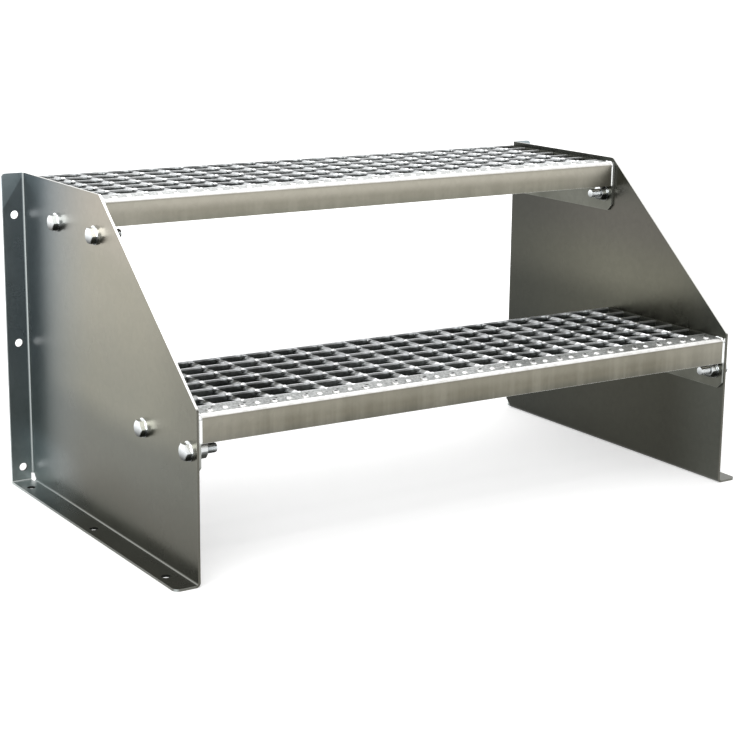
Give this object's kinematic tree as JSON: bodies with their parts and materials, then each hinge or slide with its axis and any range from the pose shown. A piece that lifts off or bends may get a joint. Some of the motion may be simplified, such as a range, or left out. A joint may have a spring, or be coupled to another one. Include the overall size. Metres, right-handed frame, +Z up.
{
  "type": "two-step stair",
  "caption": "Low galvanised steel stair: grating treads with perforated nosings, bolted between two folded side stringers with flanges for wall and floor anchors.",
  "frame": {"origin": "on the floor plane, midway between the stringers and midway from the front edge to the wall side", "axes": "+X to the right as one walks up, +Y towards the wall that the stair leads to, +Z up"},
  "size_m": [0.866, 0.49, 0.422],
  "materials": {
    "stringer_sheet": "hot-dip galvanised sheet, satin",
    "nosing_sheet": "hot-dip galvanised sheet, satin, worn bright at the fold",
    "grating_steel": "hot-dip galvanised bar, semi-gloss",
    "end_plate_steel": "hot-dip galvanised flat bar, satin",
    "zinc_fasteners": "bright zinc plate"
  },
  "bodies": {
    "root": {"left_stringer": "stringer_sheet", "right_stringer": "stringer_sheet", "lower_nosing": "nosing_sheet", "lower_bearing_bars": "grating_steel", "lower_cross_rods": "grating_steel", "lower_rear_bar": "grating_steel", "lower_left_end_plate": "end_plate_steel", "lower_right_end_plate": "end_plate_steel", "upper_nosing": "nosing_sheet", "upper_bearing_bars": "grating_steel", "upper_cross_rods": "grating_steel", "upper_rear_bar": "grating_steel", "upper_left_end_plate": "end_plate_steel", "upper_right_end_plate": "end_plate_steel", "lower_left_bolts": "zinc_fasteners", "lower_left_washers": "zinc_fasteners", "lower_left_nuts": "zinc_fasteners", "lower_right_bolts": "zinc_fasteners", "lower_right_washers": "zinc_fasteners", "lower_right_nuts": "zinc_fasteners", "upper_left_bolts": "zinc_fasteners", "upper_left_washers": "zinc_fasteners", "upper_left_nuts": "zinc_fasteners", "upper_right_bolts": "zinc_fasteners", "upper_right_washers": "zinc_fasteners", "upper_right_nuts": "zinc_fasteners"}
  },
  "joints": []
}
